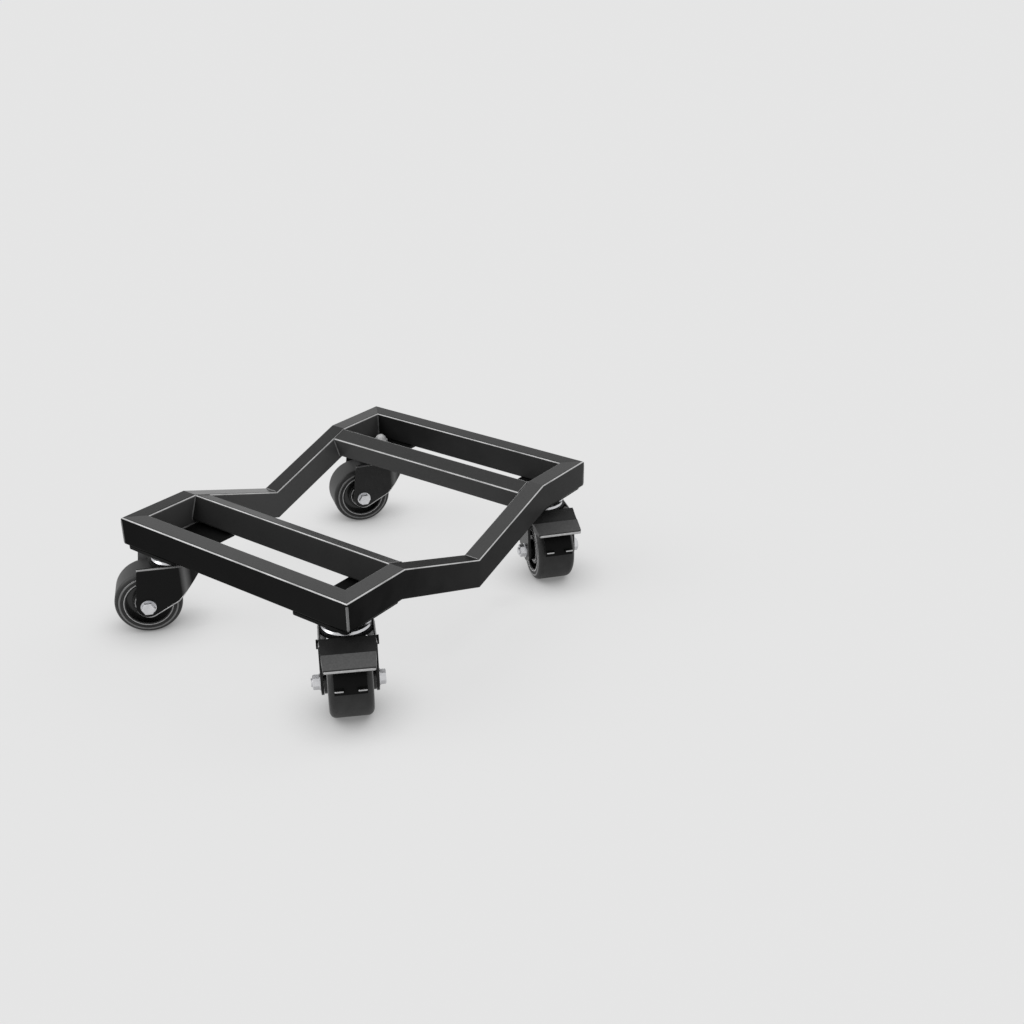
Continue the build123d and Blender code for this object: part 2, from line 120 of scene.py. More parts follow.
def new_material(name):
    """An empty node material with its Principled shader and the coordinates of the surface."""
    made = bpy.data.materials.new(name)
    made.use_nodes = True
    tree = made.node_tree
    return made, tree, tree.nodes["Principled BSDF"], add(tree, "ShaderNodeTexCoord")


def feed(tree, shader, **sources):
    """Link finished patterns to the shader's sockets; an underscore in a name stands for a space."""
    for socket, source in sources.items():
        tree.links.new(output_of(source), shader.inputs[socket.replace("_", " ")])


print("a mid grey is", [round(c, 3) for c in linear("#808080")])

# %% [markdown]
# ## Studio
#
# The dolly stands on pale seamless paper that fills the picture. The light is soft and even: a pale room
# all round, a wide lamp from the left front, which draws the shadows, and a weaker one from behind.
# Area lamps could do this too. Suns with a wide angle are used, because their light is the same all over
# the floor, and the rounded edges of the tubes then carry one even bright line each.
# For rays that see it, the paper also glows, so it meets the room without a horizon. The glow fades near the
# dolly, where things stand close over the paper, as a painted contact shadow: a soft dark patch under each wheel.

# %% Floor
FLOOR_SIZE, FLOOR_COLOUR, CONTACT_REACH, GLOW_SHARE = 60, "#e6e6e6", 110, 0.84


def seen_directly(tree):
    """1 for camera, mirror and glass rays, which show a surface, and 0 for rays that only carry light."""
    ray = add(tree, "ShaderNodeLightPath")
    plain = {0: ray.outputs["Is Camera Ray"], 1: ray.outputs["Is Glossy Ray"]}
    either = add(tree, MATH, None, plain, operation="MAXIMUM")
    return add(tree, MATH, None, {0: either, 1: ray.outputs["Is Transmission Ray"]}, operation="MAXIMUM")


bpy.ops.mesh.primitive_plane_add(size=FLOOR_SIZE)
floor = bpy.context.object
floor.name = "studio_floor"
floor_material, tree, shader, _ = new_material("matt_floor_paper")
shader.inputs["Base Color"].default_value = linear(FLOOR_COLOUR)
shader.inputs["Roughness"].default_value = 0.9
shader.inputs["Specular IOR Level"].default_value = 0.0
# painted contact shadow: the glow dims where the dolly stands close over the paper
near = add(tree, "ShaderNodeAmbientOcclusion", {"Distance": CONTACT_REACH * MM}, samples=16)
shade = add(tree, RANGE, {"From Min": 0.2, "From Max": 0.9, "To Min": 0.3}, {"Value": near.outputs["AO"]})
glow = add(tree, "ShaderNodeEmission", {"Color": linear(FLOOR_COLOUR)}, {"Strength": shade})
share = add(tree, MATH, {1: GLOW_SHARE}, {0: seen_directly(tree)}, operation="MULTIPLY")
paper = add(tree, "ShaderNodeMixShader", None, {0: share, 1: shader, 2: glow})
tree.links.new(output_of(paper), tree.nodes["Material Output"].inputs["Surface"])
floor.data.materials.append(floor_material)
print("floor:", FLOOR_SIZE, "m of", floor_material.name)

# %% Room and lamps
ROOM_COLOUR, ROOM_LIGHT, ROOM_SEEN = "#fafafa", 0.6, 0.827
world = bpy.data.worlds.new("pale_room")
scene.world = world
world.use_nodes = True
tree = world.node_tree
room = tree.nodes["Background"]
room.inputs["Color"].default_value = linear(ROOM_COLOUR)
level = add(tree, RANGE, {"To Min": ROOM_LIGHT, "To Max": ROOM_SEEN}, {"Value": seen_directly(tree)})
feed(tree, room, Strength=level)


def sun(name, towards, strength, angle):
    """A wide sun lamp; towards points from the dolly to the lamp, strength is in watts per square metre."""
    lamp = bpy.data.lights.new(name, "SUN")
    lamp.energy = strength
    lamp.angle = math.radians(angle)
    made = bpy.data.objects.new(name, lamp)
    made.rotation_euler = (-Vector(towards)).to_track_quat("-Z", "Y").to_euler()
    scene.collection.objects.link(made)


sun("key_left", (-0.64, -0.46, 0.62), 1.4, 45)
sun("rim_right", (0.2, 0.7, 0.68), 0.5, 30)

# %% [markdown]
# ## Satin black powder coat
#
# The tubes are powder coated: a plastic powder is sprayed on and baked to a tough satin skin. It flows like the
# skin of an orange, with soft dimples a millimetre or two wide. Seen at a low angle, the upward faces mirror the
# pale room, so they look grey although the coat is nearly black. The sides are kept dull, and their tone is
# painted shade and painted light: it goes from black at one end of the dolly to a dark grey at the other, in place
# of the uneven light that falls on them. Faces that look inwards across the cradle are painted greyer still, as
# painted light. Along the upper edges a pale line is painted: a painted highlight, partly the coat rubbed through.
# Tops, sides and edges could be painted by hand. Here they are read from the way the surface faces, so one
# function finishes every tube. The arms of the V lean by about 19 degrees, so their normals are turned back
# by that angle first. Tyres and hands rub each tube in their own way, so each has its own polish on top.

# %% Sizes of the tubes in millimetres, read from a rail
rail_low, rail_high = np.round(np.array(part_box("right_rail_front")) / MM, 2)
HALF_WIDTH, HALF_LENGTH, BEND_Y = rail_high[0], -rail_low[1], -rail_high[1]
TUBE_WIDE = rail_high[0] - rail_low[0]
TOP, UNDER, VALLEY_TOP = rail_high[2], rail_low[2], 122
SLOPE = math.atan2(TOP - VALLEY_TOP, BEND_Y)
print("frame", 2 * HALF_WIDTH, "by", 2 * HALF_LENGTH, "mm, slope", round(math.degrees(SLOPE), 2), "degrees")

# %% Powder coat of one tube
REACH = {"X": HALF_WIDTH, "Y": HALF_LENGTH}
PATCH, DIMPLE = 34, 1.6
SPECK = 2.5  # coarser than real dust, which would be too fine to show
# the pale edge tone is a painted highlight, partly the coat rubbed through
TOP_BLACKS, INNER_PAINTED_LIGHT, EDGE_HIGHLIGHT_AND_WEAR = ("#0c0c0c", "#242424"), "#525252", "#e0e0e0"
DULL, SWING = 0.03, 0.04


def powder_coat(name, lean, along, sides, polish, rough):
    """Coat of a tube that leans about X: side tones at both ends of an axis, painted shade and light, with polish
    and roughness on top.
    """
    made, tree, shader, place = new_material(name)
    here = {"Vector": place.outputs["Object"]}
    patches = add(tree, NOISE, {"Scale": 1 / (PATCH * MM), "Detail": 4}, here)
    peel = add(tree, NOISE, {"Scale": 1 / (DIMPLE * MM), "Detail": 2}, here)
    specks = add(tree, NOISE, {"Scale": 1 / (SPECK * MM), "Detail": 3}, here)
    spot = add(tree, SPLIT, None, here)
    turned = add(tree, TURN, {"Angle": lean}, {"Vector": place.outputs["Normal"]}, rotation_type="X_AXIS")
    facing = add(tree, SPLIT, None, {"Vector": turned})

    # masks: tops face up, edges face half way up, inner faces look towards the middle of the dolly
    up = {"Value": facing.outputs["Z"]}
    upward = add(tree, RANGE, {"From Min": 0.75, "From Max": 0.97}, up)
    past_side = add(tree, RANGE, {"From Min": 0.4, "From Max": 0.58}, up)
    before_top = add(tree, RANGE, {"From Min": 0.91, "From Max": 0.8}, up)
    edge = add(tree, MATH, None, {0: past_side, 1: before_top}, operation="MULTIPLY")
    worn = add(tree, RANGE, {"From Min": 0.3, "From Max": 0.6, "To Min": 0.6}, {"Value": patches})
    # edge mask of the painted highlight, partly wear where the coat is rubbed through
    rubbed = add(tree, MATH, None, {0: edge, 1: worn}, operation="MULTIPLY")
    side = add(tree, MATH, None, {0: spot.outputs["X"]}, operation="SIGN")
    away = add(tree, MATH, None, {0: side, 1: facing.outputs["X"]}, operation="MULTIPLY")
    # painted light: faces that look into the cradle are made greyer
    inward = add(tree, RANGE, {"From Min": -0.5, "From Max": -0.9}, {"Value": away})

    # tones: a painted shade gradient with soft patches on the sides, specks on the tops, painted light on the
    # inner faces, and a painted highlight on the edges, partly coat rubbed through
    reach = REACH[along] * MM
    run = add(tree, RANGE, {"From Min": -reach, "From Max": reach}, {"Value": spot.outputs[along]})
    soft = {"From Min": 0.3, "From Max": 0.7, "To Min": -0.06, "To Max": 0.08}
    mottle = add(tree, RANGE, soft, {"Value": patches})
    shade = add(tree, MATH, None, {0: run, 1: mottle}, operation="ADD")
    black = add(tree, MIX, two_tones(sides), {"Factor": shade}, data_type="RGBA")
    lined = add(tree, MIX, {"B": linear(INNER_PAINTED_LIGHT)}, {"Factor": inward, "A": black}, data_type="RGBA")
    grains = add(tree, RANGE, {"From Min": 0.35, "From Max": 0.65}, {"Value": specks})
    strewn = add(tree, MIX, {"Factor": 0.5}, {"A": patches, "B": grains})
    specked = add(tree, MIX, two_tones(TOP_BLACKS), {"Factor": strewn}, data_type="RGBA")
    topped = add(tree, MIX, None, {"Factor": upward, "A": lined, "B": specked}, data_type="RGBA")
    tone = add(tree, MIX, {"B": linear(EDGE_HIGHLIGHT_AND_WEAR)}, {"Factor": rubbed, "A": topped}, data_type="RGBA")

    # gloss: satin all over, but only the tops are polished
    satin = add(tree, RANGE, {"To Min": rough - SWING, "To Max": rough + SWING}, {"Value": patches})
    gloss = add(tree, RANGE, {"To Min": DULL, "To Max": polish}, {"Value": upward})
    bump = add(tree, BUMP, {"Strength": 0.12, "Distance": 0.1 * MM}, {"Height": peel})
    feed(tree, shader, Base_Color=tone, Roughness=satin, Specular_IOR_Level=gloss, Normal=bump)
    return made


print("powder coat: dimples", DIMPLE, "mm, specks", SPECK, "mm")

# %% Coats of the twelve tubes: lean, axis, side tones, polish and roughness
# painted shade and light: each tube's side tones, darker at one end and greyer at the other, stand in for the
# light that falls on its sides
RAIL_SIDES = ("#080808", "#3e3e3e")
COATS = {
    "front_crossbar": (0, "X", ("#020202", "#181818"), 0.5, 0.22),
    "rear_crossbar": (0, "X", ("#1c1c1c", "#3c3c3c"), 0.15, 0.22),
    "left_rail_front": (0, "Y", RAIL_SIDES, 0.15, 0.22),
    "right_rail_front": (0, "Y", RAIL_SIDES, 0.55, 0.22),
    "left_rail_rear": (0, "Y", RAIL_SIDES, 0.4, 0.22),
    "right_rail_rear": (0, "Y", RAIL_SIDES, 0.3, 0.22),
    "left_rail_front_slope": (SLOPE, "Y", RAIL_SIDES, 0.6, 0.22),
    "right_rail_front_slope": (SLOPE, "Y", RAIL_SIDES, 0.04, 0.47),
    "left_rail_rear_slope": (-SLOPE, "Y", RAIL_SIDES, 0.3, 0.22),
    "right_rail_rear_slope": (-SLOPE, "Y", RAIL_SIDES, 0.8, 0.22),
    "front_inner_crossbar": (SLOPE, "X", ("#2a2a2a", "#343434"), 0.1, 0.28),
    "rear_inner_crossbar": (-SLOPE, "X", ("#4a4a4a", "#434343"), 0.4, 0.22),
}
coats = {tube: powder_coat(f"satin_black_powder_coat_{tube}", *finish) for tube, finish in COATS.items()}
print("coats:", len(coats))

# %% [markdown]
# ## Black enamel
#
# Forks and brake levers are dipped in a glossy black enamel before the casters are put together. It flows out
# without the dimples of the powder coat. The bent edges of the sheet carry grey lines: painted highlights, partly
# bare metal where the enamel draws back. A grey band where the sheet is drawn round the back of the fork is a
# painted highlight. The inner faces of the fork legs have a painted light of their own, and the foot pedals are
# painted grey: partly shoe scuffs, partly painted light.
# All this could be painted on each pressing. It is found from the normal and the place instead, both turned into
# the caster's own directions: ahead, left and up. So the four casters share one function, and each has its own
# shades of black, set lighter or darker as painted light and shade. Kingpins and axles are joints of the frame, so
# the directions are read from there.

# %% Places and headings of the casters, read from the joints
CORNERS = ("front_left", "front_right", "rear_left", "rear_right")
joint_at = {joint["name"]: np.round(np.array(joint["pos_m"]) / MM, 4) for joint in frame["joints"]}
kingpins = {corner: joint_at[f"{corner}_swivel"][:2] for corner in CORNERS}
trails = {corner: joint_at[f"{corner}_roll"][:2] - kingpins[corner] for corner in CORNERS}
headings = {corner: math.atan2(y, x) for corner, (x, y) in trails.items()}
TRAIL, AXLE_UP = math.hypot(*trails["front_left"]), joint_at["front_left_roll"][2]
print("headings:", {corner: round(math.degrees(angle), 1) for corner, angle in headings.items()})

# %% Enamel of one caster: two shades that mix, painted light and shade, and a painted light for the inner faces of the fork
# painted light and shade: each caster's two shades are lighter or darker for the light that falls on it; the
# third, on the inner faces of the fork legs, is painted light
ENAMEL = {
    "front_left": ("#050505", "#0b0b0b", "#848484"),
    "front_right": ("#1e1e1e", "#2c2c2c", "#2c2c2c"),
    "rear_left": ("#2a2a2a", "#363636", "#363636"),
    "rear_right": ("#2a2a2a", "#363636", "#363636"),
}
# painted highlights: the grey band round the fork's back and the grey bent edges, the latter partly bare; the
# pedal greys are shoe scuffs and painted light
BACK_HIGHLIGHT_GREY, SCUFF_AND_LIGHT_GREYS, BENT_EDGE_HIGHLIGHT = "#787878", ("#484848", "#646464"), "#a8a8a8"
PEDAL_FROM, PEDAL_FULL = 79, 80
FLOW_PATCH, SAG, SCUFF = 18, 6, 3


def dip_enamel(corner):
    """Enamel whose normal and place are turned back by the heading, so X is ahead, Y left and Z up."""
    made, tree, shader, place = new_material(f"gloss_black_dip_enamel_{corner}")
    x, y = kingpins[corner]
    back = -headings[corner]
    here = {"Vector": place.outputs["Object"]}
    patches = add(tree, NOISE, {"Scale": 1 / (FLOW_PATCH * MM), "Detail": 4}, here)
    sags = add(tree, NOISE, {"Scale": 1 / (SAG * MM), "Detail": 1}, here)
    scuffs = add(tree, NOISE, {"Scale": 1 / (SCUFF * MM), "Detail": 5}, here)
    normal = add(tree, TURN, {"Angle": back}, {"Vector": place.outputs["Normal"]}, rotation_type="Z_AXIS")
    facing = add(tree, SPLIT, None, {"Vector": normal})
    local = add(tree, TURN, {"Center": (x * MM, y * MM, 0), "Angle": back}, here, rotation_type="Z_AXIS")
    spot = add(tree, SPLIT, None, {"Vector": local})

    # masks: bent edges face half sideways and half up; the painted highlight band turns from the leg to the back
    outward = add(tree, MATH, None, {0: facing.outputs["Y"]}, operation="ABSOLUTE")
    tipped = add(tree, MATH, None, {0: facing.outputs["Z"]}, operation="ABSOLUTE")
    leaves = add(tree, RANGE, {"From Min": 0.97, "From Max": 0.88}, {"Value": outward})
    nears = add(tree, RANGE, {"From Min": 0.3, "From Max": 0.5}, {"Value": outward})
    tips = add(tree, RANGE, {"From Min": 0.12, "From Max": 0.3}, {"Value": tipped})
    bend = add(tree, MATH, None, {0: leaves, 1: nears}, operation="MULTIPLY")
    edge = add(tree, MATH, None, {0: bend, 1: tips}, operation="MULTIPLY")
    turns = add(tree, RANGE, {"From Min": -0.12, "From Max": -0.3}, {"Value": facing.outputs["X"]})
    ends = add(tree, RANGE, {"From Min": -0.55, "From Max": -0.35}, {"Value": facing.outputs["X"]})
    back_highlight_band = add(tree, MATH, None, {0: turns, 1: ends}, operation="MULTIPLY")
    # painted light, partly scuffs: the upward face of the pedal ahead of the hood is made grey
    lip = {"From Min": (x + PEDAL_FROM) * MM, "From Max": (x + PEDAL_FULL) * MM}
    pedal = add(tree, RANGE, lip, {"Value": spot.outputs["X"]})
    upward = add(tree, RANGE, {"From Min": 0.6, "From Max": 0.9}, {"Value": facing.outputs["Z"]})
    scuffed_and_lit_pedal = add(tree, MATH, None, {0: pedal, 1: upward}, operation="MULTIPLY")
    leftward = add(tree, MATH, {1: y * MM}, {0: spot.outputs["Y"]}, operation="SUBTRACT")
    side = add(tree, MATH, None, {0: leftward}, operation="SIGN")
    away = add(tree, MATH, None, {0: side, 1: facing.outputs["Y"]}, operation="MULTIPLY")
    inward = add(tree, RANGE, {"From Min": -0.5, "From Max": -0.9}, {"Value": away})

    # tones: black in patches, its own painted light inside, painted highlights on the back band and the bent edges
    # (partly bare), and a pedal grey from scuffs and painted light
    dark, light, inner = ENAMEL[corner]
    dipped = add(tree, MIX, two_tones((dark, light)), {"Factor": patches}, data_type="RGBA")
    lined = add(tree, MIX, {"B": linear(inner)}, {"Factor": inward, "A": dipped}, data_type="RGBA")
    coat = add(tree, MIX, {"B": linear(BACK_HIGHLIGHT_GREY)}, {"Factor": back_highlight_band, "A": lined}, data_type="RGBA")
    grey = add(tree, MIX, two_tones(SCUFF_AND_LIGHT_GREYS), {"Factor": scuffs}, data_type="RGBA")
    worn = add(tree, MIX, None, {"Factor": scuffed_and_lit_pedal, "A": coat, "B": grey}, data_type="RGBA")
    tone = add(tree, MIX, {"B": linear(BENT_EDGE_HIGHLIGHT)}, {"Factor": edge, "A": worn}, data_type="RGBA")

    # gloss: smooth enamel, rough pedal, half bare metal on the edges
    bare = add(tree, MATH, {1: 0.5}, {0: edge}, operation="MULTIPLY")
    gloss = add(tree, RANGE, {"To Min": 0.22, "To Max": 0.32}, {"Value": patches})
    rough = add(tree, MIX, {"B": 0.45}, {"Factor": scuffed_and_lit_pedal, "A": gloss})
    bump = add(tree, BUMP, {"Strength": 0.08, "Distance": 0.2 * MM}, {"Height": sags})
    feed(tree, shader, Base_Color=tone, Roughness=rough, Metallic=bare, Normal=bump)
    shader.inputs["Specular IOR Level"].default_value = 0.15
    return made


enamels = {corner: dip_enamel(corner) for corner in CORNERS}
print("enamels:", [made.name for made in enamels.values()])

# %% [markdown]
# ## Black primer
#
# The caster plates sit under the tubes, where the powder hardly reaches, and the brake shoes and their pins
# sit under the levers. They keep the dull black primer of the caster maker, which swallows nearly all
# light, so the wells at the corners of the frame look deep and the shoes stand out from the grey treads.
# Under a lens, this primer and most of the finishes below look alike: soft clouds of two tones, which are
# also a little duller or shinier, and a fine grain in the surface. One recipe makes them all, from the real
# size of the clouds and of the grain.
# The race that is pressed down out of each plate is plated with zinc. Plate and race are one solid, so the
# plate's finish changes with the height: primer on the plate, bright metal below it.

# %% Recipe for cloudy finishes, and the primer of shoes and pins
PRIMER_TONES, PRIMER_ROUGH, PRIMER_SPECULAR = ("#080808", "#121212"), (0.5, 0.65), 0.1
PRIMER_CLOUD = (22, 4)
PRIMER_GRAIN = (1.1, 2)  # coarser than the real grain, which would be too fine to show
PRIMER_BUMP = (0.1, 0.1)


def cloudy(name, cloud, tones, rough, grain, bump, **sockets):
    """Clouds mix two tones and two roughnesses; a grain lifts the surface.

    Cloud and grain are a size in millimetres and a number of finer layers, bump is a strength and a depth
    in millimetres. Other sockets of the shader take one even value each.
    """
    made, tree, shader, place = new_material(name)
    here = {"Vector": place.outputs["Object"]}
    clouds = add(tree, NOISE, {"Scale": 1 / (cloud[0] * MM), "Detail": cloud[1]}, here)
    grains = add(tree, NOISE, {"Scale": 1 / (grain[0] * MM), "Detail": grain[1]}, here)
    tone = add(tree, MIX, two_tones(tones), {"Factor": clouds}, data_type="RGBA")
    shine = add(tree, RANGE, {"To Min": rough[0], "To Max": rough[1]}, {"Value": clouds})
    lift = add(tree, BUMP, {"Strength": bump[0], "Distance": bump[1] * MM}, {"Height": grains})
    feed(tree, shader, Base_Color=tone, Roughness=shine, Normal=lift)
    for socket, value in sockets.items():
        shader.inputs[socket.replace("_", " ")].default_value = value
    return made


# nearly no reflection, so the pieces look deep
primer = cloudy(
    "dull_black_primer", PRIMER_CLOUD, PRIMER_TONES, PRIMER_ROUGH, PRIMER_GRAIN, PRIMER_BUMP,
    Specular_IOR_Level=PRIMER_SPECULAR,
)
print("primer:", primer.name)

# %% Primer on the caster plates, and zinc on the race below them
PLATE_BOTTOM, BORDER = 131, 0.5
PLATED_TONE, PLATED_ROUGH = "#dcdde0", 0.25
plate_primer, tree, shader, place = new_material("dull_black_primer_over_plated_race")
here = {"Vector": place.outputs["Object"]}
patches = add(tree, NOISE, {"Scale": 1 / (PRIMER_CLOUD[0] * MM), "Detail": PRIMER_CLOUD[1]}, here)
grain = add(tree, NOISE, {"Scale": 1 / (PRIMER_GRAIN[0] * MM), "Detail": PRIMER_GRAIN[1]}, here)
spot = add(tree, SPLIT, None, here)
border = {"From Min": PLATE_BOTTOM * MM, "From Max": (PLATE_BOTTOM - BORDER) * MM}
plated = add(tree, RANGE, border, {"Value": spot.outputs["Z"]})
black = add(tree, MIX, two_tones(PRIMER_TONES), {"Factor": patches}, data_type="RGBA")
tone = add(tree, MIX, {"B": linear(PLATED_TONE)}, {"Factor": plated, "A": black}, data_type="RGBA")
dull = add(tree, RANGE, {"To Min": PRIMER_ROUGH[0], "To Max": PRIMER_ROUGH[1]}, {"Value": patches})
rough = add(tree, MIX, {"B": PLATED_ROUGH}, {"Factor": plated, "A": dull})
bump = add(tree, BUMP, {"Strength": PRIMER_BUMP[0], "Distance": PRIMER_BUMP[1] * MM}, {"Height": grain})
feed(tree, shader, Base_Color=tone, Roughness=rough, Metallic=plated, Normal=bump)
shader.inputs["Specular IOR Level"].default_value = PRIMER_SPECULAR
print("plates:", plate_primer.name)

# %% [markdown]
# ## Metals of the casters
#
# Lower races, bolts and nuts are plated with zinc: a bright silvery skin, a little cloudy, with fine marks from
# the barrel in which small parts are tumbled. The cap nuts on the kingpins sit in the shaded wells of the frame,
# and their plating is made pale and matt: a painted light that keeps them bright in the shade. Balls, bearing
# rings and axle sleeves are ground steel with a film of grease; they are hidden and only show when the model is
# taken apart.
# Scratches could be drawn one by one. At this size clouds and grain give the same look, so the recipe does.

# %% Zinc and steel
# bright silver with soft clouds; tumbling marks drawn coarser than real, to show
zinc = cloudy(
    "bright_zinc_plate", cloud=(7, 3), tones=("#bcbdc0", "#efeff1"), rough=(0.16, 0.34),
    grain=(1.2, 2), bump=(0.1, 0.1), Metallic=1,
)
# pale and matt, a painted light: scatters light like pale paint and hardly mirrors the dark tubes round it
pale_zinc_painted_light = cloudy(
    "pale_zinc_plate_painted_light", cloud=(5, 4), tones=("#dcdcde", "#fafafa"), rough=(0.35, 0.5),
    grain=(5, 4), bump=(0.1, 0.1),
)
# darker and smoother than the zinc, with the brown tinge of grease
bearing_steel = cloudy(
    "greased_bearing_steel", cloud=(4, 3), tones=("#6e6a62", "#a9aaac"), rough=(0.14, 0.3),
    grain=(4, 3), bump=(0.06, 0.1), Metallic=1,
)
print("metals:", zinc.name, pale_zinc_painted_light.name, bearing_steel.name)

# %% [markdown]
# ## Tyre rubber and nylon core
#
# The tyre is hard moulded rubber, dark grey and satin, with a fine grain from the mould and dust rubbed into it.
# Its rib is smooth and glossy, and painted pale grey: a painted highlight. The core is black nylon: smoother, so
# its rounded rims carry soft arcs, and the sharp ridges of the mould are painted pale too, as painted highlights.
# One material could change from the face to the rib. The rib and the ridges are pieces of their own further down,
# so each simply gets a finish of its own.

# %% Rubber and nylon
# dark grey satin, without clear reflections; mould grain drawn coarser than real, to show
rubber = cloudy(
    "moulded_black_rubber", cloud=(14, 4), tones=("#2c2c2c", "#404040"), rough=(0.36, 0.5),
    grain=(0.8, 2), bump=(0.12, 0.1), IOR=1.4, Specular_IOR_Level=0.25,
)
# shinier where things have rubbed on it, and paler as a painted highlight
rib_highlight_rubber = cloudy(
    "rubber_rib_painted_highlight", cloud=(8, 3), tones=("#565656", "#7c7c7c"), rough=(0.14, 0.2),
    grain=(8, 3), bump=(0.05, 0.1), Specular_IOR_Level=0.9,
)
# deep black with soft clear reflections; mould grain drawn coarser than real, to show
nylon = cloudy(
    "moulded_black_nylon", cloud=(9, 3), tones=("#0b0b0b", "#141414"), rough=(0.17, 0.25),
    grain=(0.9, 1), bump=(0.06, 0.1), IOR=1.5,
)
# thin pale lines on the black: painted highlights
ridge_highlight_nylon = cloudy(
    "nylon_ridge_painted_highlight", cloud=(6, 3), tones=("#a0a0a0", "#d8d8d8"), rough=(0.2, 0.3),
    grain=(6, 3), bump=(0.05, 0.1),
)
print("wheel:", rubber.name, rib_highlight_rubber.name, nylon.name, ridge_highlight_nylon.name)

# %% [markdown]
# ## Finish on every solid
#
# Each solid has one material slot. Most solids get the finish that their record names: zinc plate, bearing
# steel, rubber or nylon. Each tube has a powder coat of its own and each caster its own enamel, and plates,
# shoes, pins and cap nuts get their finish by name. One table holds these, so nothing is set twice.

# %% Assign
finishes = {"zinc_plate": zinc, "bearing_steel": bearing_steel, "tyre_rubber": rubber, "core_plastic": nylon}
own = {**coats, "kingpin_nuts": pale_zinc_painted_light}
for corner, enamel in enamels.items():
    pressings = {"fork": enamel, "brake_lever": enamel}
    primed = {"top_plate": plate_primer, "brake_shoe": primer, "brake_pin": primer}
    own |= {f"{corner}_{piece}": finish for piece, finish in {**pressings, **primed}.items()}
for name, solid in nodes.items():
    solid.material_slots[0].material = own[name] if name in own else finishes[slot_of[name]]
print("finishes on", len(nodes), "solids")

# %% [markdown]
# ## Round bars along a path
#
# Weld beads, moulded ribs, screw threads and rolled edges have one thing in common: a small round section
# that follows a line. Curves with a bevel could make them. Here one function carries a circle along a path
# of points, which lets the circle swell and taper, and one more turns such grids of points into a mesh. A
# fan of triangles closes each end of an open bar, and loops close on themselves, so there are no holes.


# %% Helpers for carried sections
def carried(path, across, radius, loop=False, sides=10):
    """Circles of the given radius round each path point, square to the path; across sets where they start."""
    ahead = np.roll(path, -1, 0) - np.roll(path, 1, 0) if loop else np.gradient(path, axis=0)
    ahead = ahead / np.linalg.norm(ahead, axis=1, keepdims=True)
    second = across - (ahead @ np.asarray(across, float))[:, None] * ahead
    second = second / np.linalg.norm(second, axis=1, keepdims=True)
    first = np.cross(second, ahead)
    turn = np.linspace(0, 2 * np.pi, sides, endpoint=False)[None, :, None]
    ring = first[:, None] * np.cos(turn) + second[:, None] * np.sin(turn)
    return path[:, None] + np.broadcast_to(radius, len(path))[:, None, None] * ring, loop


def skin(points, loop, start):
    """Quads between neighbours of a grid that wraps round its columns; open rows end in a fan."""
    rows, columns, _ = points.shape
    index = start + np.arange(rows * columns).reshape(rows, columns)
    near, far = (index, np.roll(index, -1, 0)) if loop else (index[:-1], index[1:])
    quads = np.stack([near, np.roll(near, -1, 1), np.roll(far, -1, 1), far], -1).reshape(-1, 4)
    vertices = points.reshape(-1, 3)
    if loop:
        return vertices, quads.tolist()
    ends = start + rows * columns + np.arange(2)
    first = np.stack([np.full(columns, ends[0]), np.roll(index[0], -1), index[0]], -1)
    last = np.stack([np.full(columns, ends[1]), index[-1], np.roll(index[-1], -1)], -1)
    vertices = np.vstack([vertices, points[0].mean(0), points[-1].mean(0)])
    return vertices, quads.tolist() + first.tolist() + last.tolist()


def make_piece(name, grids, body, finish):
    """One smooth mesh from several grids in millimetres, given its finish and set to ride on a body."""
    vertices, faces, start = [], [], 0
    for points, loop in grids:
        part, quads = skin(points, loop, start)
        vertices.append(part)
        faces += quads
        start += len(part)
    mesh = bpy.data.meshes.new(name)
    mesh.from_pydata(np.vstack(vertices) * MM, [], faces)
    mesh.polygons.foreach_set("use_smooth", np.ones(len(faces), bool))
    mesh.update()
    made = bpy.data.objects.new(name, mesh)
    made.data.materials.append(finish)
    scene.collection.objects.link(made)
    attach(made, body)
    print(name, "has", len(faces), "faces")


SIDEWAYS, UPRIGHT = (1, 0, 0), (0, 0, 1)
sample, _ = carried(np.outer(np.arange(3), UPRIGHT), SIDEWAYS, 1)
print("a bar of", len(sample), "circles has", len(skin(sample, False, 0)[1]), "faces")

# %% [markdown]
# ## Weld beads
#
# The tubes are joined by arc welds: the metal freezes in small overlapping scales, two or three millimetres
# long, which the coat softens. A bump in the material could hint at them, but the corners would stay bare.
# Each bead is a round bar along the joint, half sunk in the corner, whose radius swells once per scale. The beads
# are painted pale grey, a painted highlight on the black coat, so the joints show as thin pale lines.

# %% Bead shapes
SCALE_LENGTH, SWELL, STEP = 2.8, 0.15, 0.5
SEAM_END, OUTLINE_POINTS = 0.02, 240


def scales(run):
    """Radius of a bead as a share: 1 + swell |sin(pi s / scale length)| at run s."""
    return 1 + SWELL * np.abs(np.sin(np.pi * run / SCALE_LENGTH))


def seam(start, end, across, radius):
    """Straight bead with scales, rounded off at both ends by the square root of the distance to them."""
    start, end = np.asarray(start, float), np.asarray(end, float)
    length = np.linalg.norm(end - start)
    run = np.linspace(0, length, int(length / STEP) + 2)
    taper = np.sqrt(np.clip(np.minimum(run, length - run) / (2 * radius), SEAM_END, 1))
    return carried(start + (end - start) * (run / length)[:, None], across, radius * scales(run) * taper)


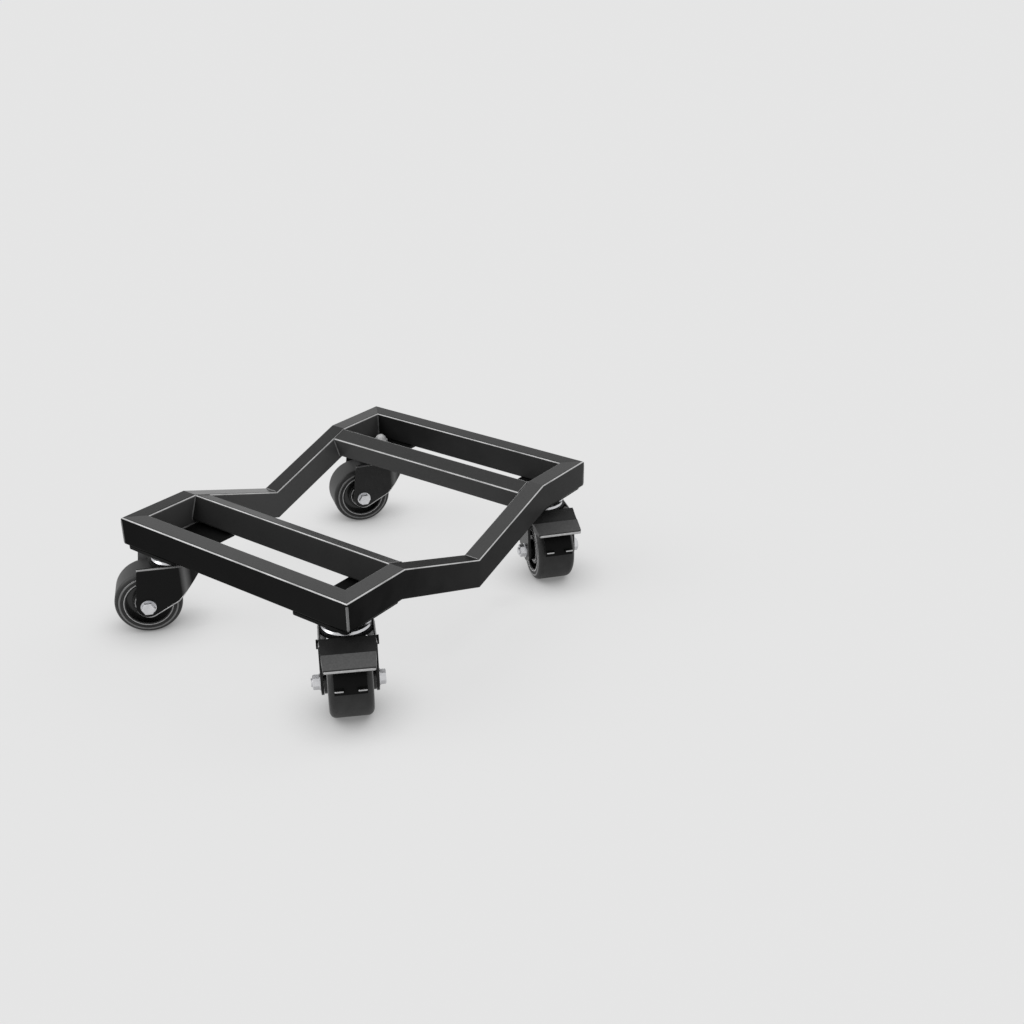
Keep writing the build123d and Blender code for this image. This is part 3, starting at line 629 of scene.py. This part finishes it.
def loop_seam(centre, wide, high, size, corner, radius):
    """Bead round a tube's rounded rectangle: four straight sides joined by quarter circles, with scales."""
    half = np.asarray(size) / 2 - corner
    turn = np.linspace(0, 2 * np.pi, OUTLINE_POINTS, endpoint=False) + np.pi / OUTLINE_POINTS
    a = np.sign(np.cos(turn)) * half[0] + corner * np.cos(turn)
    b = np.sign(np.sin(turn)) * half[1] + corner * np.sin(turn)
    points = np.stack([a, b], -1)
    steps = np.linalg.norm(np.diff(points, axis=0, append=points[:1]), axis=1)
    run = np.concatenate([[0], np.cumsum(steps)])
    even = np.linspace(0, run[-1], int(run[-1] / STEP), endpoint=False)
    closed = np.vstack([points, points[:1]])
    flat = np.stack([np.interp(even, run, closed[:, i]) for i in range(2)], -1)
    path = centre + flat[:, :1] * wide + flat[:, 1:] * high
    return carried(path, np.cross(wide, high), radius * scales(even), loop=True)


print("scales", SCALE_LENGTH, "mm long")

# %% Beads of the frame
INNER_HIGH, TUBE_CORNER = 40, 3.5
CORNER_BEAD, INNER_BEAD, RING_BEAD, FOOT_BEAD, VALLEY_BEAD = 1.7, 1.6, 0.7, 1.3, 0.9
SUNK, EDGE_GAP = 1, 3
SINE, COSINE = math.sin(SLOPE), math.cos(SLOPE)
# pale grey: a painted highlight on the beads, standing in for the light they catch
weld_highlight_coat = cloudy(
    "weld_bead_painted_highlight", cloud=(12, 3), tones=("#505050", "#909090"), rough=(0.2, 0.34),
    grain=(12, 3), bump=(0.2, 0.2),
)
inner_x, inner_y = HALF_WIDTH - TUBE_WIDE, HALF_LENGTH - TUBE_WIDE
beads = []
for side in (-1, 1):
    for end in (-1, 1):
        x, y = side * (HALF_WIDTH - SUNK), end * (HALF_LENGTH - SUNK)
        beads.append(seam((x, y, UNDER + 2 * SUNK), (x, y, TOP - EDGE_GAP), SIDEWAYS, CORNER_BEAD))
        x, y = side * inner_x, end * inner_y
        beads.append(seam((x, y, UNDER + SUNK), (x, y, TOP - EDGE_GAP), SIDEWAYS, INNER_BEAD))
        plate_from, plate_to = end * (inner_y - SUNK), end * (BEND_Y - SUNK)
        beads.append(seam((x, plate_from, UNDER), (x, plate_to, UNDER), SIDEWAYS, INNER_BEAD))
        wide, high = np.array([0, end * COSINE, SINE]), np.array([0, -end * SINE, COSINE])
        middle = np.array([x, end * BEND_Y, TOP]) - wide * TUBE_WIDE / 2 - high * INNER_HIGH / 2
        beads.append(loop_seam(middle, wide, high, (TUBE_WIDE, INNER_HIGH), TUBE_CORNER, RING_BEAD))
        for face in (-1, 1):
            foot, half = middle + face * wide * TUBE_WIDE / 2, high * (INNER_HIGH / 2 - EDGE_GAP)
            beads.append(seam(foot - half, foot + half, SIDEWAYS, FOOT_BEAD))
    valley_from, valley_to = side * (inner_x + EDGE_GAP), side * (HALF_WIDTH - EDGE_GAP)
    beads.append(seam((valley_from, 0, VALLEY_TOP), (valley_to, 0, VALLEY_TOP), UPRIGHT, VALLEY_BEAD))
make_piece("frame_weld_beads", beads, "frame", weld_highlight_coat)
print(len(beads), "weld beads")

# %% [markdown]
# ## Moulded rings of the wheels
#
# The tyre has a raised rib where its side turns into the shoulder, and the core has a rounded rim and a
# hub ring. On the real wheel they come out of the mould with the rest, and they could be modelled with it.
# Here they are rings of their own, a small circle carried round the axle, so that they can have their own finish.
# They sit half sunk in the side faces, and the pale finish of the rib and the ridges gives each wheel its bright
# arcs as painted highlights.


# %% Directions of a caster
def on_caster(corner, points):
    """Millimetres ahead of the kingpin, left of the heading and up become places in the frame."""
    angle = headings[corner]
    ahead, left, up = np.moveaxis(np.asarray(points, float), -1, 0)
    x, y = kingpins[corner]
    return np.stack([x + ahead * math.cos(angle) - left * math.sin(angle),
                     y + ahead * math.sin(angle) + left * math.cos(angle), up], -1)


def sideways(corner):
    """Unit vector to the left of the heading, along the axle."""
    angle = headings[corner]
    return np.array([-math.sin(angle), math.cos(angle), 0])


print("axle of the front left wheel at", on_caster("front_left", (TRAIL, 0, AXLE_UP)).round(1), "mm")

# %% Wheel rings: slot, finish, and rings of a radius, a distance from the wheel's middle and a thickness
RING_POINTS = 144
# the pale finishes of the tyre ribs and the core ridges are painted highlights
WHEEL_RINGS = {
    "tyre_ribs": ("tyre_rubber", rib_highlight_rubber, [(42.6, 29, 1.6)]),
    "core_rims": ("core_plastic", nylon, [(35, 27.8, 2.2), (23, 25.4, 1.2), (19.4, 25.4, 1.9)]),
    "core_ridges": ("core_plastic", ridge_highlight_nylon, [(36, 29.4, 0.8), (19.6, 27, 0.8)]),
}


def axle_ring(corner, radius, left, thickness):
    """Circle round the axle at a radius and a place along it, with a round section."""
    turn = np.linspace(0, 2 * np.pi, RING_POINTS, endpoint=False)
    along = np.full(RING_POINTS, left)
    path = np.stack([TRAIL + radius * np.cos(turn), along, AXLE_UP + radius * np.sin(turn)], -1)
    return carried(on_caster(corner, path), sideways(corner), thickness, loop=True)


for corner in CORNERS:
    for piece, (slot, finish, rings) in WHEEL_RINGS.items():
        both = [(radius, out * far, thickness) for out in (-1, 1) for radius, far, thickness in rings]
        grids = [axle_ring(corner, *ring) for ring in both]
        make_piece(f"{corner}_{piece}", grids, f"{corner}_wheel", finish)

# %% [markdown]
# ## Rolled edges of the pressings
#
# The front edge of each foot pedal is rolled over, so that it doesn't cut into a shoe sole. Shoes keep it bare,
# and its pale bare metal is also a painted highlight: it is the brightest line of the brake. A bevel could round
# the sheet, but it would keep the finish of the sheet. So the edge is a round bar along the lip with rounded ends.
# The two small tabs of the brake shoe get pale bare ends too, as painted highlights. The lower edges of the fork
# legs are rounded in the press, and a pale bare bar along them is a painted highlight.

# %% Pedal edges and tabs
HEM_AHEAD, HEM_UP, HEM_HALF, HEM_RADIUS = 106.9, 102.9, 34, 2.1
TAB_AHEAD, TAB_UP, TAB_LEFT, TAB_HALF, TAB_RADIUS = 107.5, 72, 15.5, 6, 1.2
BAR_POINTS, BAR_END = 40, 1e-4
# pale grey metal with dull scuffs: bare metal that is also a painted highlight next to the enamel
bare_edge_highlight = cloudy(
    "bare_steel_edge_highlight", cloud=(5, 4), tones=("#9a9a9a", "#d4d4d4"), rough=(0.25, 0.45),
    grain=(5, 4), bump=(0.1, 0.1), Metallic=1,
)


def rounded_bar(corner, ahead, up, left, half, radius):
    """Bar along the axle's direction, half of its length to each side; a quarter circle rounds each end."""
    start, end = np.array([ahead, left - half, up], float), np.array([ahead, left + half, up], float)
    length = 2 * half
    run = length * (1 - np.cos(np.linspace(0, np.pi, BAR_POINTS))) / 2
    near = np.clip(np.minimum(run, length - run) / radius, 0, 1)
    round_off = np.sqrt(np.clip(1 - (1 - near) ** 2, BAR_END, 1))
    path = start + (end - start) * (run / length)[:, None]
    return carried(on_caster(corner, path), UPRIGHT, radius * round_off, sides=16)


for corner in ("front_right", "rear_right"):
    hem = [rounded_bar(corner, HEM_AHEAD, HEM_UP, 0, HEM_HALF, HEM_RADIUS)]
    make_piece(f"{corner}_pedal_hem", hem, f"{corner}_brake", bare_edge_highlight)
    lefts = (-TAB_LEFT, TAB_LEFT)
    tabs = [rounded_bar(corner, TAB_AHEAD, TAB_UP, left, TAB_HALF, TAB_RADIUS) for left in lefts]
    make_piece(f"{corner}_shoe_tab_edges", tabs, f"{corner}_brake", bare_edge_highlight)

# %% Lower edges of the fork legs
LEG_END, LEG_FROM, LEG_TO = 18, -70, -118.6
HEEL, BACK_END, FORK_OUT = (0, 54), (-22, 78), 39.1
LEG_HEM, THIN_POINTS, THIN_END = 0.9, 8, 0.1
END_POINTS, RISE_POINTS, BACK_POINTS = 12, 20, 12


def leg_hem(corner, out):
    """Bar round the axle end, straight to the heel and up the round back, sqrt(R^2 - x^2) out there."""
    turn = np.radians(np.linspace(LEG_FROM, LEG_TO, END_POINTS))
    end = np.stack([TRAIL + LEG_END * np.cos(turn), AXLE_UP + LEG_END * np.sin(turn)], -1)
    rise = np.linspace(end[-1], HEEL, RISE_POINTS)[1:]
    back = np.linspace(HEEL, BACK_END, BACK_POINTS)[1:]
    ahead, up = np.vstack([end, rise, back]).T
    path = np.stack([ahead, out * np.sqrt(FORK_OUT**2 - np.minimum(ahead, 0) ** 2), up], -1)
    count = np.arange(len(path))
    thin = np.clip(np.minimum(count, count[::-1]) / THIN_POINTS, THIN_END, 1)
    return carried(on_caster(corner, path), sideways(corner), LEG_HEM * thin, sides=8)


for corner in CORNERS:
    hems = [leg_hem(corner, out) for out in (-1, 1)]
    make_piece(f"{corner}_fork_hems", hems, f"{corner}_caster", bare_edge_highlight)

# %% [markdown]
# ## Screw threads
#
# Each axle bolt ends in about one turn of thread beyond its nut. The pitch is that of a coarse 12 mm thread.
# The Screw modifier could wind it. A ridge carried along a helix needs no modifier, and its pitch and
# length are plain numbers.

# %% Threads
THREAD_RADIUS, THREAD_FROM, THREAD_TO, PITCH = 5.6, -52.1, -50.5, 1.75
RIDGE_SHARE, TURN_POINTS = 0.38, 36


def thread(corner):
    """Ridge along a helix round the axle: angle 2 pi s / pitch at run s, thickness a share of the pitch."""
    run = np.linspace(THREAD_FROM, THREAD_TO, int((THREAD_TO - THREAD_FROM) / PITCH * TURN_POINTS) + 2)
    turn = 2 * np.pi * run / PITCH
    path = np.stack([TRAIL + THREAD_RADIUS * np.cos(turn), run, AXLE_UP + THREAD_RADIUS * np.sin(turn)], -1)
    return carried(on_caster(corner, path), sideways(corner), RIDGE_SHARE * PITCH, sides=6)


for corner in CORNERS:
    make_piece(f"{corner}_axle_thread", [thread(corner)], f"{corner}_caster", zinc)
